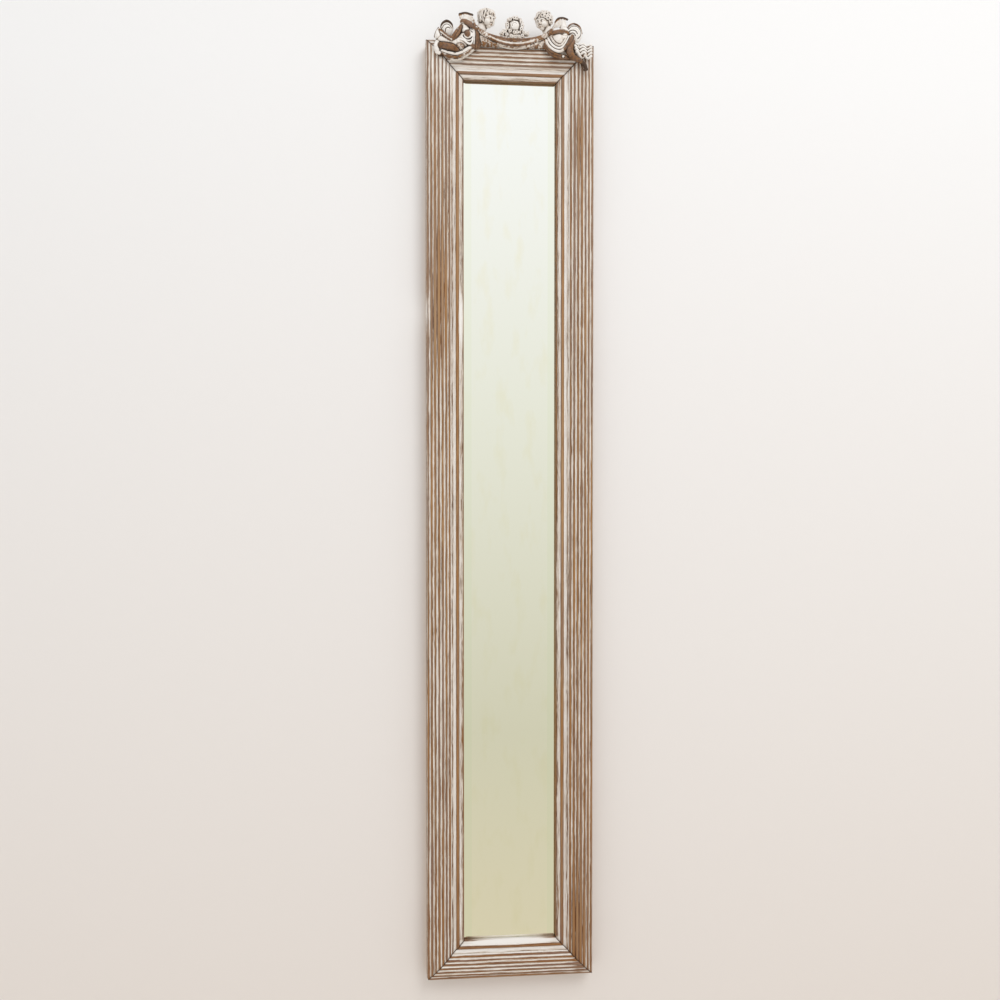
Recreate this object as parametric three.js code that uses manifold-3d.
// A tall pier mirror. Four lengths of reeded moulding are mitred round a bevelled mirror plate, and a
// carved crest of two putti, a swag and a flower medallion sits on the top rail.
//
// Millimetres. +X is the viewer's right, +Z is up and the front faces -Y. The back of the frame lies on
// Y = 0, and the origin is the middle of the top rail's flat back.

import * as THREE from 'three';
import { mergeVertices } from 'three/addons/utils/BufferGeometryUtils.js';
import Module from 'manifold-3d';

const wasm = await Module();
wasm.setup();

// ---------------------------------------------------------------- fits

const SEAT_GAP = 0.3; // between two pieces that touch
const MITRE_GAP = 0.3; // across each mitre, measured square to it
const ROD_SEGMENTS = 12;

// ---------------------------------------------------------------- frame

const FRAME_WIDTH = 311;
const FRAME_HEIGHT = 1736;

// The moulding's section: u runs inwards from the outer edge, and h stands out from the back.
const CROWN_HEIGHT = 36;
const OUTER_LAND = 1.1;
const REED_COUNT = 7;
const REED_PITCH = 6.95; // along the barrel
const REED_RISE = 2;
const REED_STEPS = 6;
const REED_ROUNDNESS = 1.06; // 1 is a half circle's steep flank
const BARREL_RADIUS = 42;
const LAND_WIDTH = 5.3;
const LAND_DROP = 0.4;
const COVE_WIDTH = 4.2;
const COVE_DROP = 2;
const BEAD_RADIUS = 3.3;
const SLOPE_WIDTH = 8.3;
const SLOPE_DROP = 3.6;
const LIP_DEPTH = 7.5;
const RABBET_WIDTH = 8;
const CURVE_STEPS = 6;

// ---------------------------------------------------------------- mirror plate and its backing

const GLASS_THICKNESS = 4;
const GLASS_MARGIN = 3; // between the plate's edge and the rabbet
const BEVEL_WIDTH = 20;
const BEVEL_DROP = 1.5;
const WEDGE_LENGTH = 30;
const WEDGE_INSET = 260; // from the plate's ends to the outer side wedges
const SIDE_WEDGE_COUNT = 3; // along each side
const END_WEDGE_INSET = 31; // from the plate's sides to the middles of the foot wedges
const BOARD_THICKNESS = 4;
const BOARD_MARGIN = 0.6;
const BRAD_RADIUS = 0.9;
const BRAD_LENGTH = 18;
const BRAD_BITE = 9; // the length driven into the wood
const BRADS_PER_STILE = 5;
const BRAD_END_INSET = 60;
const BRAD_SEGMENTS = 8;

// ---------------------------------------------------------------- mitre keys

const KEY_LENGTH = 42;
const KEY_WIDTH = 20;
const KEY_WAIST = 9;
const KEY_THICKNESS = 7;

// ---------------------------------------------------------------- hangers and bumpers

const HANGER_DROP = 230; // from the frame's top edge to the ring's bar
const STRAP_WIDTH = 14;
const STRAP_LENGTH = 50;
const STRAP_THICKNESS = 1.4;
const STRAP_BEND_STEPS = 16;
const RING_WIRE_RADIUS = 1.5;
const RING_HALF_WIDTH = 13.5; // to the middle of the wire
const RING_DEPTH = 22;
const RING_CORNER_RADIUS = 4;
const RING_SIDES = 8;
const RING_CORNER_STEPS = 3;
const RING_BOW_STEPS = 12;
const SCREW_HEAD_RADIUS = 3.4;
const SCREW_HEAD_HEIGHT = 2;
const SCREW_CROWN_RADIUS = 2.4;
const SCREW_SHANK_RADIUS = 1.7;
const SCREW_BITE = 14;
const FIRST_SCREW_DROP = 32;
const SCREW_SPACING = 10;
const BUMPER_RADIUS = 9;
const BUMPER_DOME = 1.2;
const BUMPER_RISE = 120; // from the frame's bottom edge
const BUMPER_SEGMENTS = 20;

// ---------------------------------------------------------------- crest

const CREST_BACK = 12; // the carvings stay this far from the frame's back plane
const CREST_DOWEL_RADIUS = 3.5;
const CREST_DOWEL_RAIL_BITE = 14;
const CREST_DOWEL_CARVING_BITE = 9;
const MEDALLION_DOWEL_RADIUS = 2.5;
const MEDALLION_DOWEL_BITE = 9;
const DOWEL_SEGMENTS = 10;
const BALL_SEGMENTS = 12;
const BALL_RINGS = 8;
const LIMB_SEGMENTS = 10;
const LIMB_RINGS = 3;
const LIMB_STEPS = 2; // between two places on a limb's path

// ---------------------------------------------------------------- derived sizes of the section

const barrelHalfAngle = (REED_COUNT * REED_PITCH) / (2 * BARREL_RADIUS);
const valleyRadius = BARREL_RADIUS - REED_RISE;
const barrelMiddle = OUTER_LAND + valleyRadius * Math.sin(barrelHalfAngle);
const barrelCentreHeight = CROWN_HEIGHT - BARREL_RADIUS;
const bandEndHeight = barrelCentreHeight + valleyRadius * Math.cos(barrelHalfAngle);
const landStart = barrelMiddle + valleyRadius * Math.sin(barrelHalfAngle);
const coveStart = landStart + LAND_WIDTH;
const beadStart = coveStart + COVE_WIDTH;
const slopeStart = beadStart + 2 * BEAD_RADIUS;
const sectionWidth = slopeStart + SLOPE_WIDTH;
const landHeight = bandEndHeight - LAND_DROP;
const beadFoot = landHeight - COVE_DROP;
const sightHeight = beadFoot - SLOPE_DROP;
const rabbetHeight = sightHeight - LIP_DEPTH;
const backWidth = sectionWidth - RABBET_WIDTH;

const frameTop = backWidth / 2;
const frameBottom = frameTop - FRAME_HEIGHT;
const frameMiddle = (frameTop + frameBottom) / 2;
const rabbetHalfWidth = FRAME_WIDTH / 2 - backWidth;
const rabbetHalfHeight = FRAME_HEIGHT / 2 - backWidth;

const rabbetOverlap = RABBET_WIDTH - GLASS_MARGIN;
const bevelDropAtLip = BEVEL_DROP * (1 - rabbetOverlap / BEVEL_WIDTH);
const glassFront = rabbetHeight - SEAT_GAP + bevelDropAtLip;
const glassBack = glassFront - GLASS_THICKNESS;
const boardFront = glassBack - SEAT_GAP;
const boardBack = boardFront - BOARD_THICKNESS;

// ---------------------------------------------------------------- solids and their booleans

function toSolid(geometry) {
  const bare = geometry.clone();
  bare.deleteAttribute('normal');
  bare.deleteAttribute('uv');
  const merged = mergeVertices(bare, 1e-4);
  return new wasm.Manifold(new wasm.Mesh({
    numProp: 3,
    vertProperties: new Float32Array(merged.attributes.position.array),
    triVerts: new Uint32Array(merged.index.array),
  }));
}

function toGeometry(solid) {
  const mesh = solid.getMesh();
  const geometry = new THREE.BufferGeometry();
  geometry.setAttribute('position', new THREE.BufferAttribute(mesh.vertProperties, 3));
  geometry.setIndex(new THREE.BufferAttribute(mesh.triVerts, 1));
  return geometry;
}

function join(geometries) {
  return geometries.map(toSolid).reduce((sum, next) => sum.add(next));
}

function cut(geometry, cutters) {
  const body = toSolid(geometry);
  return toGeometry(cutters.reduce((rest, cutter) => rest.subtract(toSolid(cutter)), body));
}

function indexed(positions, triangles) {
  const geometry = new THREE.BufferGeometry();
  geometry.setAttribute('position', new THREE.Float32BufferAttribute(positions, 3));
  geometry.setIndex(triangles);
  return geometry;
}

// A rod along Y from the depth `from` to the depth `to`, both measured as h (towards the viewer).
function rodAlongY(x, z, from, to, radius, segments = ROD_SEGMENTS) {
  const rod = new THREE.CylinderGeometry(radius, radius, to - from, segments);
  rod.translate(x, -(from + to) / 2, z);
  return rod;
}

function rodAlongZ(x, height, from, to, radius, segments) {
  const rod = new THREE.CylinderGeometry(radius, radius, to - from, segments);
  rod.rotateX(Math.PI / 2);
  rod.translate(x, -height, (from + to) / 2);
  return rod;
}

function block(low, high) {
  const size = high.clone().sub(low);
  const box = new THREE.BoxGeometry(size.x, size.y, size.z);
  box.translate((low.x + high.x) / 2, (low.y + high.y) / 2, (low.z + high.z) / 2);
  return box;
}

// ---------------------------------------------------------------- moulding

// Height of a reed over its valley line, for t from -1 to 1 across the reed.
function reedBulge(t) {
  const side = Math.sqrt(REED_ROUNDNESS ** 2 - 1);
  return (Math.sqrt(REED_ROUNDNESS ** 2 - t * t) - side) / (REED_ROUNDNESS - side);
}

function reedBand() {
  const points = [];
  const steps = REED_COUNT * REED_STEPS;
  for (let step = 0; step <= steps; step += 1) {
    const angle = barrelHalfAngle * ((2 * step) / steps - 1);
    const t = 2 * ((step % REED_STEPS) / REED_STEPS) - 1;
    const radius = valleyRadius + REED_RISE * (step % REED_STEPS === 0 ? 0 : reedBulge(t));
    points.push([barrelMiddle + radius * Math.sin(angle), barrelCentreHeight + radius * Math.cos(angle)]);
  }
  return points;
}

// The band's smooth cover, over which the carvings are seated.
function coverBand(grow) {
  const points = [];
  const steps = REED_COUNT;
  for (let step = 0; step <= steps; step += 1) {
    const angle = barrelHalfAngle * ((2 * step) / steps - 1);
    const radius = (BARREL_RADIUS + grow) / Math.cos(barrelHalfAngle / steps);
    points.push([barrelMiddle + radius * Math.sin(angle), barrelCentreHeight + radius * Math.cos(angle)]);
  }
  return points;
}

function innerMembers() {
  const points = [[landStart + LAND_DROP, landHeight], [coveStart, landHeight]];
  for (let step = 1; step <= CURVE_STEPS; step += 1) {
    const angle = (Math.PI / 2) * (step / CURVE_STEPS);
    points.push([coveStart + COVE_WIDTH * (1 - Math.cos(angle)), landHeight - COVE_DROP * Math.sin(angle)]);
  }
  for (let step = 1; step <= CURVE_STEPS; step += 1) {
    const angle = Math.PI * (1 - step / CURVE_STEPS);
    points.push([
      beadStart + BEAD_RADIUS * (1 + Math.cos(angle)),
      beadFoot + BEAD_RADIUS * Math.sin(angle),
    ]);
  }
  for (let step = 1; step <= CURVE_STEPS; step += 1) {
    const share = step / CURVE_STEPS;
    points.push([slopeStart + SLOPE_WIDTH * share, beadFoot - SLOPE_DROP * share * share]);
  }
  return points;
}

function rabbetAndBack() {
  return [
    [sectionWidth, rabbetHeight],
    [backWidth, rabbetHeight],
    [backWidth, 0],
    [0, 0],
  ];
}

function mouldingSection() {
  return [[0, bandEndHeight - LAND_DROP], ...reedBand(), ...innerMembers(), ...rabbetAndBack()];
}

// The space that the moulding fills, grown by the seat gap, without the valleys.
function seatSection() {
  const lift = SEAT_GAP;
  return [
    [-lift, bandEndHeight],
    ...coverBand(lift),
    [landStart + REED_RISE, landHeight + lift],
    [coveStart + lift, landHeight + lift],
    [beadStart + BEAD_RADIUS, beadFoot + BEAD_RADIUS + lift],
    [slopeStart + lift, beadFoot + lift],
    [sectionWidth + lift, sightHeight + lift],
    [sectionWidth + lift, -lift],
    [-lift, -lift],
  ];
}

// A length of moulding along X with both ends mitred. Its outer edge is on Z = 0 and it goes down in Z.
function mitredLength(section, outerLength, endTrim) {
  const count = section.length;
  const positions = [];
  for (const side of [-1, 1]) {
    for (const [u, h] of section) {
      positions.push(side * (outerLength / 2 - u - endTrim), -h, -u);
    }
  }
  const triangles = [];
  for (let i = 0; i < count; i += 1) {
    const next = (i + 1) % count;
    triangles.push(i, i + count, next, next, i + count, next + count);
  }
  const outline = section.map(([u, h]) => new THREE.Vector2(u, h));
  const clockwise = THREE.ShapeUtils.isClockWise(outline);
  for (const face of THREE.ShapeUtils.triangulateShape(outline, [])) {
    const turned = THREE.ShapeUtils.isClockWise(face.map((i) => outline[i])) !== clockwise;
    const [a, b, c] = turned ? face.toReversed() : face;
    triangles.push(a, b, c, a + count, c + count, b + count);
  }
  return outwards(indexed(positions, triangles));
}

// Turns a closed mesh's faces to point outwards.
function outwards(geometry) {
  const position = geometry.attributes.position;
  const index = geometry.index.array;
  const corner = (i) => new THREE.Vector3().fromBufferAttribute(position, index[i]);
  let volume = 0;
  for (let i = 0; i < index.length; i += 3) {
    volume += corner(i).dot(corner(i + 1).cross(corner(i + 2)));
  }
  if (volume < 0) {
    for (let i = 0; i < index.length; i += 3) {
      [index[i], index[i + 1]] = [index[i + 1], index[i]];
    }
  }
  return geometry;
}

const mitreTrim = (MITRE_GAP / 2) * Math.SQRT2;

function topRail(section, trim) {
  return mitredLength(section, FRAME_WIDTH, trim).translate(0, 0, frameTop);
}

function bottomRail(section, trim) {
  return mitredLength(section, FRAME_WIDTH, trim).rotateY(Math.PI).translate(0, 0, frameBottom);
}

// side is -1 for the left stile and 1 for the right one.
function stile(section, trim, side) {
  const length = mitredLength(section, FRAME_HEIGHT, trim).rotateY((side * Math.PI) / 2);
  return length.translate((side * FRAME_WIDTH) / 2, 0, frameMiddle);
}

// ---------------------------------------------------------------- mirror plate and its backing

function mirrorPlate() {
  const halfWidth = rabbetHalfWidth - GLASS_MARGIN;
  const halfHeight = rabbetHalfHeight - GLASS_MARGIN;
  const rings = [
    [halfWidth, halfHeight, glassBack],
    [halfWidth, halfHeight, glassFront - BEVEL_DROP],
    [halfWidth - BEVEL_WIDTH, halfHeight - BEVEL_WIDTH, glassFront],
  ];
  const positions = [];
  for (const [x, z, h] of rings) {
    positions.push(-x, -h, -z, x, -h, -z, x, -h, z, -x, -h, z);
  }
  const triangles = [0, 1, 2, 0, 2, 3, 8, 10, 9, 8, 11, 10];
  for (let ring = 0; ring < rings.length - 1; ring += 1) {
    for (let side = 0; side < 4; side += 1) {
      const a = ring * 4 + side;
      const b = ring * 4 + ((side + 1) % 4);
      triangles.push(a, a + 4, b, b, a + 4, b + 4);
    }
  }
  return outwards(indexed(positions, triangles)).translate(0, 0, frameMiddle);
}

// Thin wedges of wood centre the plate in the rabbet and carry its weight.
function glassWedge(x, z, halfWidth, halfHeight) {
  return block(
    new THREE.Vector3(x - halfWidth, -glassFront + BEVEL_DROP, z - halfHeight),
    new THREE.Vector3(x + halfWidth, -glassBack, z + halfHeight),
  );
}

function glassWedges() {
  const halfThickness = GLASS_MARGIN / 2 - SEAT_GAP;
  const sideX = rabbetHalfWidth - GLASS_MARGIN / 2;
  const footX = rabbetHalfWidth - GLASS_MARGIN - END_WEDGE_INSET;
  const footZ = frameMiddle - rabbetHalfHeight + GLASS_MARGIN / 2;
  const reach = rabbetHalfHeight - WEDGE_INSET;
  const wedges = [];
  for (const [name, side] of [['left', -1], ['right', 1]]) {
    for (let i = 0; i < SIDE_WEDGE_COUNT; i += 1) {
      const z = frameMiddle + reach * (1 - (2 * i) / (SIDE_WEDGE_COUNT - 1));
      const geometry = glassWedge(side * sideX, z, halfThickness, WEDGE_LENGTH / 2);
      wedges.push({ name: `glass_wedge_${name}_${i + 1}`, geometry });
    }
    const geometry = glassWedge(side * footX, footZ, WEDGE_LENGTH / 2, halfThickness);
    wedges.push({ name: `glass_wedge_foot_${name}`, geometry });
  }
  return wedges;
}

function backingBoard() {
  const halfWidth = rabbetHalfWidth - BOARD_MARGIN;
  const halfHeight = rabbetHalfHeight - BOARD_MARGIN;
  return block(
    new THREE.Vector3(-halfWidth, -boardFront, frameMiddle - halfHeight),
    new THREE.Vector3(halfWidth, -boardBack, frameMiddle + halfHeight),
  );
}

// Each brad lies on the back of the board with its point in the rabbet's side.
function bradPlaces() {
  const height = boardBack - SEAT_GAP - BRAD_RADIUS;
  const places = [];
  const reach = rabbetHalfHeight - BRAD_END_INSET;
  for (const [name, side] of [['left', -1], ['right', 1]]) {
    for (let i = 0; i < BRADS_PER_STILE; i += 1) {
      const z = frameMiddle + reach * (1 - (2 * i) / (BRADS_PER_STILE - 1));
      places.push({ name: `${name}_${i + 1}`, x: side * rabbetHalfWidth, z, height, side });
    }
  }
  for (const [name, side] of [['bottom', -1], ['top', 1]]) {
    places.push({ name, x: 0, z: frameMiddle + side * rabbetHalfHeight, height, side });
  }
  return places;
}

function brad(place, grow) {
  const radius = BRAD_RADIUS + grow;
  const rod = new THREE.CylinderGeometry(radius, radius, BRAD_LENGTH + grow, BRAD_SEGMENTS);
  const shift = place.side * (BRAD_BITE - BRAD_LENGTH / 2 + grow / 2);
  if (place.x !== 0) {
    rod.rotateZ(Math.PI / 2);
    return rod.translate(place.x + shift, -place.height, place.z);
  }
  rod.rotateX(Math.PI / 2);
  return rod.translate(place.x, -place.height, place.z + shift);
}

// ---------------------------------------------------------------- mitre keys

const corners = [
  { name: 'top_left', across: -1, up: 1 },
  { name: 'top_right', across: 1, up: 1 },
  { name: 'bottom_left', across: -1, up: -1 },
  { name: 'bottom_right', across: 1, up: -1 },
];

// A butterfly key across a mitre, let into the back.
function mitreKey(corner, grow) {
  const end = KEY_WIDTH / 2 + grow;
  const waist = KEY_WAIST / 2 + grow;
  const half = KEY_LENGTH / 2 + grow;
  const outline = [[-half, -end], [0, -waist], [half, -end], [half, end], [0, waist], [-half, end]];
  const shape = new THREE.Shape(outline.map(([x, y]) => new THREE.Vector2(x, y)));
  const key = new THREE.ExtrudeGeometry(shape, { depth: KEY_THICKNESS + grow, bevelEnabled: false });
  key.rotateX(Math.PI / 2);
  key.rotateY((corner.across * corner.up * Math.PI) / 4);
  const inset = backWidth / 2;
  const edge = corner.up > 0 ? frameTop : frameBottom;
  return key.translate(corner.across * (FRAME_WIDTH / 2 - inset), 0, edge - corner.up * inset);
}

// ---------------------------------------------------------------- hangers and bumpers

const strapLoopRadius = RING_WIRE_RADIUS + SEAT_GAP + STRAP_THICKNESS;
const ringAxisY = SEAT_GAP + strapLoopRadius;
const ringAxisZ = frameTop - HANGER_DROP;
const hangerX = FRAME_WIDTH / 2 - backWidth / 2;
const strapOuterY = SEAT_GAP + STRAP_THICKNESS;
const screwDrops = [FIRST_SCREW_DROP, FIRST_SCREW_DROP + SCREW_SPACING];

// A strap folded round the ring's bar, seen from the side and then given its width.
function hangerStrap(side) {
  const shape = new THREE.Shape();
  const foot = -Math.acos((strapOuterY - ringAxisY) / strapLoopRadius);
  shape.moveTo(SEAT_GAP, -STRAP_LENGTH);
  shape.lineTo(SEAT_GAP, 0);
  shape.absarc(ringAxisY, 0, strapLoopRadius, Math.PI, foot, true);
  shape.lineTo(strapOuterY, -STRAP_LENGTH);
  const eye = new THREE.Path();
  eye.absarc(ringAxisY, 0, RING_WIRE_RADIUS + SEAT_GAP, 0, 2 * Math.PI, false);
  shape.holes.push(eye);
  const strap = new THREE.ExtrudeGeometry(shape, {
    depth: STRAP_WIDTH, bevelEnabled: false, curveSegments: STRAP_BEND_STEPS,
  });
  strap.translate(0, 0, -STRAP_WIDTH / 2);
  // The side view's axes are Y and Z, and its extrusion runs along X.
  const basis = new THREE.Matrix4().makeBasis(
    new THREE.Vector3(0, 1, 0), new THREE.Vector3(0, 0, 1), new THREE.Vector3(1, 0, 0),
  );
  strap.applyMatrix4(basis);
  strap.translate(side * hangerX, 0, ringAxisZ);
  const holes = screwDrops.map((drop) => rodAlongY(
    side * hangerX, ringAxisZ - drop, -strapOuterY - SEAT_GAP, SEAT_GAP, SCREW_SHANK_RADIUS + SEAT_GAP,
  ));
  return cut(strap, holes);
}

// The ring's wire follows a D that hangs from its straight bar.
function ringPath() {
  const corner = RING_CORNER_RADIUS;
  const points = [];
  for (let step = 0; step <= RING_CORNER_STEPS; step += 1) {
    const angle = (Math.PI / 2) * (1 - step / RING_CORNER_STEPS);
    points.push([
      RING_HALF_WIDTH - corner + corner * Math.cos(angle),
      -corner + corner * Math.sin(angle),
    ]);
  }
  for (let step = 1; step < RING_BOW_STEPS; step += 1) {
    const angle = (Math.PI * step) / RING_BOW_STEPS;
    points.push([
      RING_HALF_WIDTH * Math.cos(angle),
      -corner - (RING_DEPTH - corner) * Math.sin(angle),
    ]);
  }
  for (let step = 0; step <= RING_CORNER_STEPS; step += 1) {
    const angle = Math.PI - (Math.PI / 2) * (step / RING_CORNER_STEPS);
    points.push([
      -(RING_HALF_WIDTH - corner) + corner * Math.cos(angle),
      -corner + corner * Math.sin(angle),
    ]);
  }
  return points;
}

function hangerRing(side) {
  const path = ringPath();
  const count = path.length;
  const positions = [];
  path.forEach(([x, z], i) => {
    const [ax, az] = path[(i + count - 1) % count];
    const [bx, bz] = path[(i + 1) % count];
    const along = new THREE.Vector2(bx - ax, bz - az).normalize();
    for (let j = 0; j < RING_SIDES; j += 1) {
      const angle = (2 * Math.PI * j) / RING_SIDES;
      const outward = RING_WIRE_RADIUS * Math.cos(angle);
      positions.push(
        x - along.y * outward,
        RING_WIRE_RADIUS * Math.sin(angle),
        z + along.x * outward,
      );
    }
  });
  const triangles = [];
  for (let i = 0; i < count; i += 1) {
    for (let j = 0; j < RING_SIDES; j += 1) {
      const a = i * RING_SIDES + j;
      const b = i * RING_SIDES + ((j + 1) % RING_SIDES);
      const c = ((i + 1) % count) * RING_SIDES + j;
      const d = ((i + 1) % count) * RING_SIDES + ((j + 1) % RING_SIDES);
      triangles.push(a, c, b, b, c, d);
    }
  }
  return outwards(indexed(positions, triangles)).translate(side * hangerX, ringAxisY, ringAxisZ);
}

function hangerScrew(side, drop) {
  const profile = [
    new THREE.Vector2(0, 0),
    new THREE.Vector2(SCREW_HEAD_RADIUS, 0),
    new THREE.Vector2(SCREW_HEAD_RADIUS, SCREW_HEAD_HEIGHT / 2),
    new THREE.Vector2(SCREW_CROWN_RADIUS, SCREW_HEAD_HEIGHT),
    new THREE.Vector2(0, SCREW_HEAD_HEIGHT),
  ];
  const headSeat = strapOuterY + SEAT_GAP;
  const head = new THREE.LatheGeometry(profile, ROD_SEGMENTS);
  head.translate(side * hangerX, headSeat, ringAxisZ - drop);
  const shank = rodAlongY(side * hangerX, ringAxisZ - drop, -headSeat - SCREW_HEAD_HEIGHT / 2,
    SCREW_BITE, SCREW_SHANK_RADIUS);
  return toGeometry(join([head, shank]));
}

function hangerBores(side) {
  return screwDrops.map((drop) => rodAlongY(
    side * hangerX, ringAxisZ - drop, -SEAT_GAP, SCREW_BITE + SEAT_GAP, SCREW_SHANK_RADIUS + SEAT_GAP,
  ));
}

function bumper(side) {
  const standOff = ringAxisY + strapLoopRadius;
  const profile = [
    new THREE.Vector2(0, SEAT_GAP),
    new THREE.Vector2(BUMPER_RADIUS, SEAT_GAP),
    new THREE.Vector2(BUMPER_RADIUS, standOff - BUMPER_DOME),
    new THREE.Vector2(BUMPER_RADIUS - BUMPER_DOME, standOff),
    new THREE.Vector2(0, standOff),
  ];
  const pad = new THREE.LatheGeometry(profile, BUMPER_SEGMENTS);
  return pad.translate(side * hangerX, 0, frameBottom + BUMPER_RISE);
}

// ---------------------------------------------------------------- crest forms

// A place in the crest: x from the centre line, z from the frame's top edge, and p in front of the
// moulding's crown.
function crestPoint(x, z, p) {
  return new THREE.Vector3(x, -(CROWN_HEIGHT + p), frameTop + z);
}

// A ball at [x, z, p] with half sizes [across, deep, high], leaned over by `lean` degrees.
function ball({ at, half, lean = 0 }, grow = 0) {
  const [across, deep, high] = half;
  const geometry = new THREE.SphereGeometry(1, BALL_SEGMENTS, BALL_RINGS);
  geometry.rotateX(Math.PI / 2);
  geometry.scale(across + grow, deep + grow, high + grow);
  geometry.rotateY(THREE.MathUtils.degToRad(lean));
  const place = crestPoint(...at);
  return geometry.translate(place.x, place.y, place.z);
}

// The rings of a limb: a centre, a direction and a radius each, from one end to the other.
function limbStations(path, grow) {
  const places = path.map(([x, z, p]) => crestPoint(x, z, p));
  const curve = new THREE.CatmullRomCurve3(places, false, 'centripetal');
  const spans = path.length - 1;
  const steps = spans === 1 ? 1 : spans * LIMB_STEPS;
  const stations = [];
  for (let step = 0; step <= steps; step += 1) {
    const place = (spans * step) / steps;
    const span = Math.min(Math.floor(place), spans - 1);
    const radius = THREE.MathUtils.lerp(path[span][3], path[span + 1][3], place - span) + grow;
    stations.push({
      centre: curve.getPoint(step / steps),
      along: curve.getTangent(step / steps),
      radius,
    });
  }
  return stations;
}

// The smaller rings that round off an end. `way` is -1 before the first station and 1 after the last.
function capStations({ centre, along, radius }, way) {
  const rings = [];
  for (let i = 1; i < LIMB_RINGS; i += 1) {
    const angle = (Math.PI / 2) * (i / LIMB_RINGS);
    rings.push({
      centre: centre.clone().addScaledVector(along, way * radius * Math.sin(angle)),
      along,
      radius: radius * Math.cos(angle),
    });
  }
  return rings;
}

// A round-ended limb along a path of [x, z, p, radius].
function limb({ path }, grow = 0) {
  const body = limbStations(path, grow);
  const first = body[0];
  const last = body[body.length - 1];
  const stations = [...capStations(first, -1).reverse(), ...body, ...capStations(last, 1)];
  const deep = new THREE.Vector3(0, 1, 0);
  const positions = [];
  for (const { centre, along, radius } of stations) {
    const aside = new THREE.Vector3().crossVectors(along, deep).normalize();
    const forward = new THREE.Vector3().crossVectors(aside, along);
    for (let j = 0; j < LIMB_SEGMENTS; j += 1) {
      const angle = (2 * Math.PI * j) / LIMB_SEGMENTS;
      const corner = centre.clone()
        .addScaledVector(aside, radius * Math.cos(angle))
        .addScaledVector(forward, radius * Math.sin(angle));
      positions.push(...corner.toArray());
    }
  }
  const firstTip = stations.length * LIMB_SEGMENTS;
  const lastTip = firstTip + 1;
  positions.push(...first.centre.clone().addScaledVector(first.along, -first.radius).toArray());
  positions.push(...last.centre.clone().addScaledVector(last.along, last.radius).toArray());
  const triangles = [];
  const lastRing = firstTip - LIMB_SEGMENTS;
  for (let j = 0; j < LIMB_SEGMENTS; j += 1) {
    const next = (j + 1) % LIMB_SEGMENTS;
    triangles.push(firstTip, j, next);
    triangles.push(lastTip, lastRing + next, lastRing + j);
    for (let ring = 0; ring < lastRing; ring += LIMB_SEGMENTS) {
      const a = ring + j;
      const b = ring + next;
      triangles.push(a, a + LIMB_SEGMENTS, b, b, a + LIMB_SEGMENTS, b + LIMB_SEGMENTS);
    }
  }
  return outwards(indexed(positions, triangles));
}

// The left putto leans in to the swag with its legs out along the rail.
const leftPutto = {
  head: { at: [-44.5, 41.5, 6], half: [16, 17, 17.5] },
  body: { path: [[-47, 34, 4, 9], [-54, 23, 2, 10], [-66, 14, 1, 14], [-82, 3, 0, 16.5], [-102, -6, 0, 13]] },
  knee: { at: [-81, 6, 12], half: [7.5, 8, 10] },
  shoulder: { path: [[-90, 30, 3, 8], [-84, 12, 2, 12]] },
  arm: { path: [[-90, 30, 4, 7], [-67, 22, 8, 5.5]] },
  wing: { at: [-81, 42, -4], half: [14, 7, 8], lean: 4 },
  wingRoot: { path: [[-82, 38, -4, 7], [-84, 18, 0, 10]] },
  curl: { at: [-117, 19, -2], half: [12, 9, 17] },
  scarf: { path: [[-133, 18, -1, 4], [-139, 6, -1, 4.5], [-130, -3, 2, 6], [-112, -3, 4, 9]] },
  sash: { path: [[-132, 18, 3, 5], [-124, 6, 6, 6], [-113, -1, 8, 6.5], [-102, 8, 7, 6.5], [-93, 22, 6, 6]] },
  leg: { path: [[-129, -13, 5, 8], [-112, -12, 8, 9.5], [-96, -10, 9, 11]] },
  foot: { path: [[-137, -8, 0, 6], [-137, -23, 0, 6]] },
  drape: {
    path: [[-128, -23, 4, 7], [-113, -27, 6, 7.5], [-100, -27, 6, 7.5], [-84, -22, 6, 7], [-70, -16, 6, 6]],
  },
};

// The right putto faces it, with one foot hanging over the corner.
const rightPutto = {
  head: { at: [60.5, 38, 6], half: [16.5, 17, 17.5] },
  body: { path: [[64, 30, 4, 9], [70, 20, 2, 10], [78, 11, 1, 13], [89, 2, 2, 16], [107, -8, 0, 13]] },
  shoulder: { path: [[99, 20, 2, 8], [96, 6, 2, 12]] },
  arm: { path: [[98, 18, 6, 7], [75, 16, 8, 5.5]] },
  wing: { at: [95, 42, -4], half: [13, 7, 7.5], lean: -8 },
  wingRoot: { path: [[97, 38, -4, 7], [98, 18, 0, 9]] },
  curl: { at: [121, 21, -2], half: [15, 9, 18] },
  fold: { path: [[66, 4, 8, 6], [78, -14, 10, 7], [91, -14, 10, 7], [107, 6, 8, 5.5]] },
  drape: { path: [[70, -17, 6, 6.5], [86, -24, 6.5, 6.5], [103, -30, 6, 5.5]] },
  leg: { path: [[112, 0, 8, 8], [109, -16, 10, 8.5], [124, -30, 8, 6.5], [138, -45, 5, 4.5]] },
  foot: { at: [139.5, -48, 5], half: [5.5, 6, 8] },
  backLeg: { path: [[120, -9, 2, 9], [137, -12, 2, 9]] },
};

// The swag hangs in a shallow curve between two knots, fullest in the middle.
const SWAG_STATIONS = 7;
const swag = {
  leftKnot: [-64, 21, 9],
  rightKnot: [70, 15, 9],
  middle: { z: -8, p: 5 },
  knotRadius: 6,
  endRadius: 4,
  middleRadius: 10.5,
};
const swagTail = { path: [[-62, 17, 8, 4], [-61, 3, 8, 5], [-62, -13, 6, 6.5]] };

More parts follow.
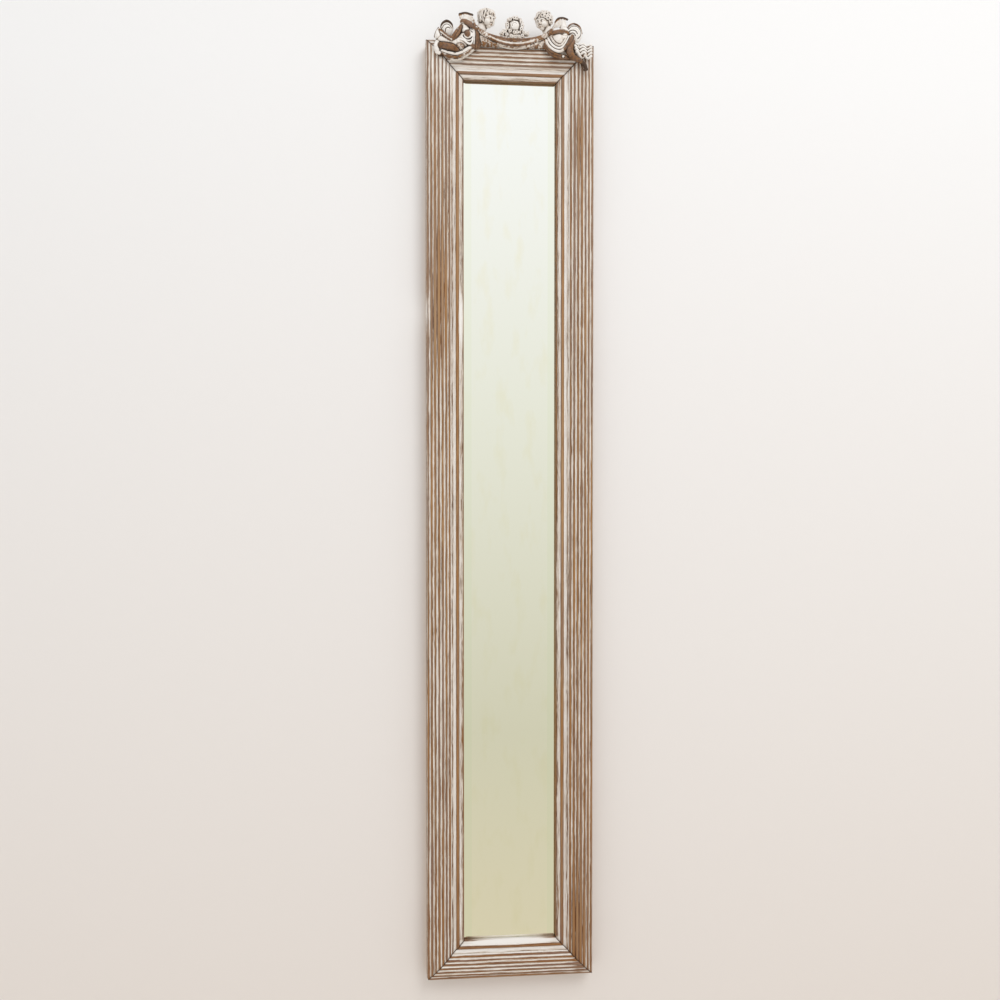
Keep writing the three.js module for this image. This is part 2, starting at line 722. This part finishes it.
// The swag's place and radius at a share of the way from its left knot to its right one.
function swagPlace(share) {
  const [leftX, leftZ, leftP] = swag.leftKnot;
  const [rightX, rightZ] = swag.rightKnot;
  const bow = 4 * share * (1 - share);
  return [
    THREE.MathUtils.lerp(leftX, rightX, share),
    THREE.MathUtils.lerp(leftZ, rightZ, share) + (swag.middle.z - (leftZ + rightZ) / 2) * bow,
    THREE.MathUtils.lerp(leftP, swag.middle.p, bow),
    THREE.MathUtils.lerp(swag.endRadius, swag.middleRadius, bow),
  ];
}

function swagForms(grow) {
  const half = [swag.knotRadius, swag.knotRadius, swag.knotRadius];
  const path = [];
  for (let i = 0; i < SWAG_STATIONS; i += 1) {
    path.push(swagPlace(i / (SWAG_STATIONS - 1)));
  }
  return [
    ball({ at: swag.leftKnot, half }, grow),
    ball({ at: swag.rightKnot, half }, grow),
    limb({ path }, grow),
    limb(swagTail, grow),
  ];
}

// A domed disc in a ring of flowers, standing on the swag. The dowel between them is at dowelP.
const FLOWER_COUNT = 10;
const medallion = {
  x: 5,
  z: 23.5,
  p: 1,
  ringRadius: 16,
  flowerRadius: 6,
  discRadius: 16,
  discDeep: 6,
  dowelP: 2.5,
};

function medallionForms() {
  const { x, z, p, ringRadius, flowerRadius, discRadius, discDeep } = medallion;
  const forms = [ball({ at: [x, z, p], half: [discRadius, discDeep, discRadius] })];
  for (let i = 0; i < FLOWER_COUNT; i += 1) {
    const angle = (2 * Math.PI * i) / FLOWER_COUNT + Math.PI / 2;
    const at = [x + ringRadius * Math.cos(angle), z + ringRadius * Math.sin(angle), p];
    forms.push(ball({ at, half: [flowerRadius, flowerRadius, flowerRadius] }));
  }
  return forms;
}

// Where a dowel pins each carving to the rail, by x and z.
const SWAG_DOWEL_SPREAD = 17;
const dowelPlaces = {
  putto_left: [[-112, -12], [-86, -6]],
  swag: [[medallion.x - SWAG_DOWEL_SPREAD, swag.middle.z], [medallion.x + SWAG_DOWEL_SPREAD, swag.middle.z]],
  putto_right: [[88, -9], [110, -14]],
};

// The height of the band's cover at a distance in from the outer edge.
function coverHeight(u) {
  return barrelCentreHeight + Math.sqrt(BARREL_RADIUS ** 2 - (u - barrelMiddle) ** 2);
}

function crestDowel([x, z], grow) {
  const face = coverHeight(-z);
  return rodAlongY(x, frameTop + z, face - CREST_DOWEL_RAIL_BITE - grow,
    face + CREST_DOWEL_CARVING_BITE + grow, CREST_DOWEL_RADIUS + grow, DOWEL_SEGMENTS);
}

function medallionDowel(grow) {
  const [leftX] = swag.leftKnot;
  const [rightX] = swag.rightKnot;
  const [, seatZ, , seatRadius] = swagPlace((medallion.x - leftX) / (rightX - leftX));
  const joint = frameTop + seatZ + seatRadius;
  return rodAlongZ(medallion.x, CROWN_HEIGHT + medallion.dowelP,
    joint - MEDALLION_DOWEL_BITE - grow, joint + MEDALLION_DOWEL_BITE + grow,
    MEDALLION_DOWEL_RADIUS + grow, DOWEL_SEGMENTS);
}

// Joins the forms and seats them on the frame, clear of what they touch.
function carving(forms, cutters) {
  const seat = seatSection();
  const frame = [topRail(seat, -SEAT_GAP), stile(seat, -SEAT_GAP, -1), stile(seat, -SEAT_GAP, 1)];
  const behind = block(
    new THREE.Vector3(-FRAME_WIDTH, -CREST_BACK, frameTop - FRAME_WIDTH),
    new THREE.Vector3(FRAME_WIDTH, FRAME_WIDTH, frameTop + FRAME_WIDTH),
  );
  const away = [...frame, behind, ...cutters];
  return toGeometry(away.reduce((rest, cutter) => rest.subtract(toSolid(cutter)), join(forms)));
}

function puttoForms(putto) {
  return Object.values(putto).map((form) => (form.at ? ball(form) : limb(form)));
}

// ---------------------------------------------------------------- finishes and assembly

const limedWood = { color: 0xb59a7c, roughness: 0.75, metalness: 0 };
const limedCarving = { color: 0xd9d4c8, roughness: 0.75, metalness: 0 };
const bareWood = { color: 0xa98557, roughness: 0.8, metalness: 0 };
const silveredGlass = { color: 0xe9ebe4, roughness: 0.04, metalness: 1 };
const hardboard = { color: 0x6f5138, roughness: 0.9, metalness: 0 };
const steel = { color: 0x9a9a96, roughness: 0.4, metalness: 1 };
const brass = { color: 0xb9985a, roughness: 0.4, metalness: 1 };
const felt = { color: 0x4c4a46, roughness: 0.95, metalness: 0 };

const pierMirror = new THREE.Group();

function add(name, geometry, finish) {
  const mesh = new THREE.Mesh(geometry, new THREE.MeshStandardMaterial({ ...finish, flatShading: true }));
  mesh.name = name;
  pierMirror.add(mesh);
}

const section = mouldingSection();
const keyPockets = corners.map((corner) => mitreKey(corner, SEAT_GAP).translate(0, SEAT_GAP, 0));
const bradBores = bradPlaces().map((place) => brad(place, SEAT_GAP));
const railDowels = Object.values(dowelPlaces).flat();

add('rail_top', cut(topRail(section, mitreTrim),
  [...keyPockets, ...bradBores, ...railDowels.map((place) => crestDowel(place, SEAT_GAP))]), limedWood);
add('rail_bottom', cut(bottomRail(section, mitreTrim), [...keyPockets, ...bradBores]), limedWood);
for (const [name, side] of [['stile_left', -1], ['stile_right', 1]]) {
  add(name, cut(stile(section, mitreTrim, side),
    [...keyPockets, ...bradBores, ...hangerBores(side)]), limedWood);
}
for (const corner of corners) {
  add(`mitre_key_${corner.name}`, mitreKey(corner, 0), bareWood);
}

add('mirror_plate', mirrorPlate(), silveredGlass);
for (const { name, geometry } of glassWedges()) {
  add(name, geometry, bareWood);
}
add('backing_board', backingBoard(), hardboard);
for (const place of bradPlaces()) {
  add(`board_brad_${place.name}`, brad(place, 0), steel);
}

for (const [name, side] of [['left', -1], ['right', 1]]) {
  add(`hanger_strap_${name}`, hangerStrap(side), brass);
  add(`hanger_ring_${name}`, hangerRing(side), brass);
  screwDrops.forEach((drop, i) => add(`hanger_screw_${name}_${i + 1}`, hangerScrew(side, drop), steel));
  add(`bumper_${name}`, bumper(side), felt);
}

const swagCutter = swagForms(SEAT_GAP);
const carvingBores = (name) => dowelPlaces[name].map((place) => crestDowel(place, SEAT_GAP));
add('putto_left', carving(puttoForms(leftPutto), [...swagCutter, ...carvingBores('putto_left')]),
  limedCarving);
add('putto_right', carving(puttoForms(rightPutto), [...swagCutter, ...carvingBores('putto_right')]),
  limedCarving);
add('swag', carving(swagForms(0), [...carvingBores('swag'), medallionDowel(SEAT_GAP)]), limedCarving);
add('flower_medallion', carving(medallionForms(), [...swagCutter, medallionDowel(SEAT_GAP)]),
  limedCarving);
for (const [name, places] of Object.entries(dowelPlaces)) {
  places.forEach((place, i) => add(`dowel_${name}_${i + 1}`, crestDowel(place, 0), bareWood));
}
add('dowel_medallion', medallionDowel(0), bareWood);

export default pierMirror;
